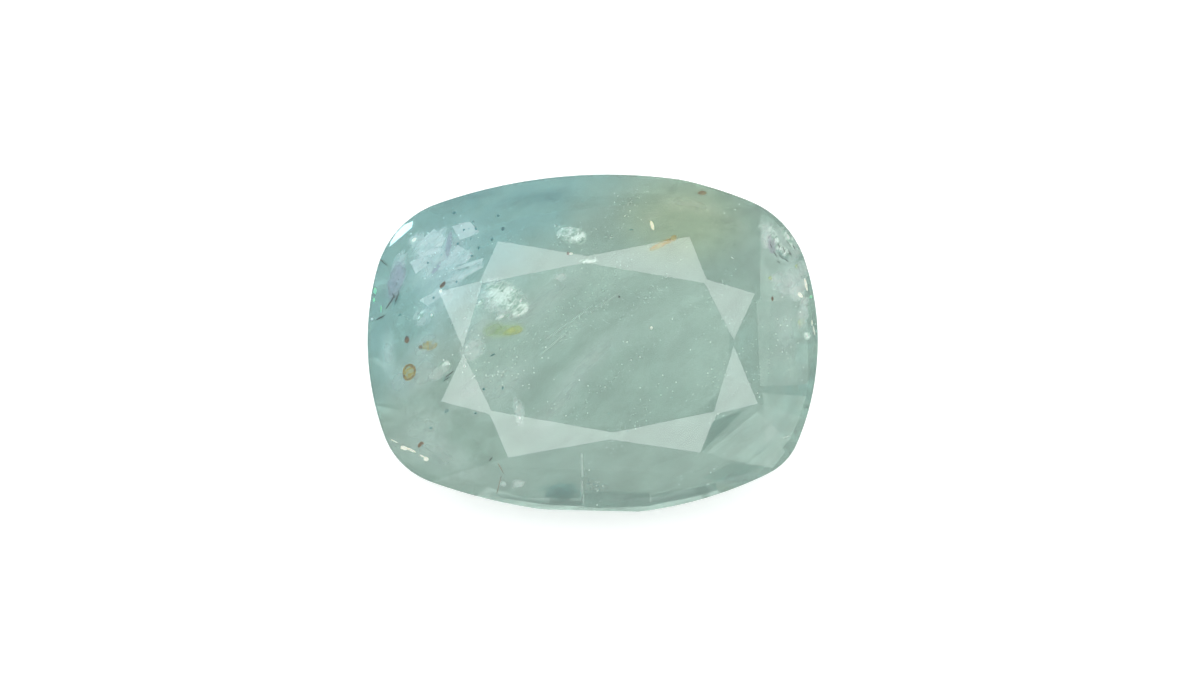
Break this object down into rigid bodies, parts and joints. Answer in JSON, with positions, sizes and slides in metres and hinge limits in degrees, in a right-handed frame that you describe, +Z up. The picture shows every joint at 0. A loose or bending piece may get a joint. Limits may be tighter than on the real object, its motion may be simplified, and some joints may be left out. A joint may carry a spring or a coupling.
{
  "type": "faceted sapphire gemstone",
  "caption": "Cushion-cut natural sapphire, bluish green with visible inclusions, lying on a pavilion facet with its table leaning forward.",
  "frame": {"origin": "middle of the stone's bounding box, on the surface that it lies on", "axes": "+X along the stone's length, towards the end with the tighter front corner; -Y the side that the table leans towards; +Z up"},
  "size_m": [0.011, 0.0072, 0.0055],
  "materials": {
    "sapphire": "polished"
  },
  "bodies": {
    "root": {"sapphire": "sapphire"}
  },
  "joints": []
}
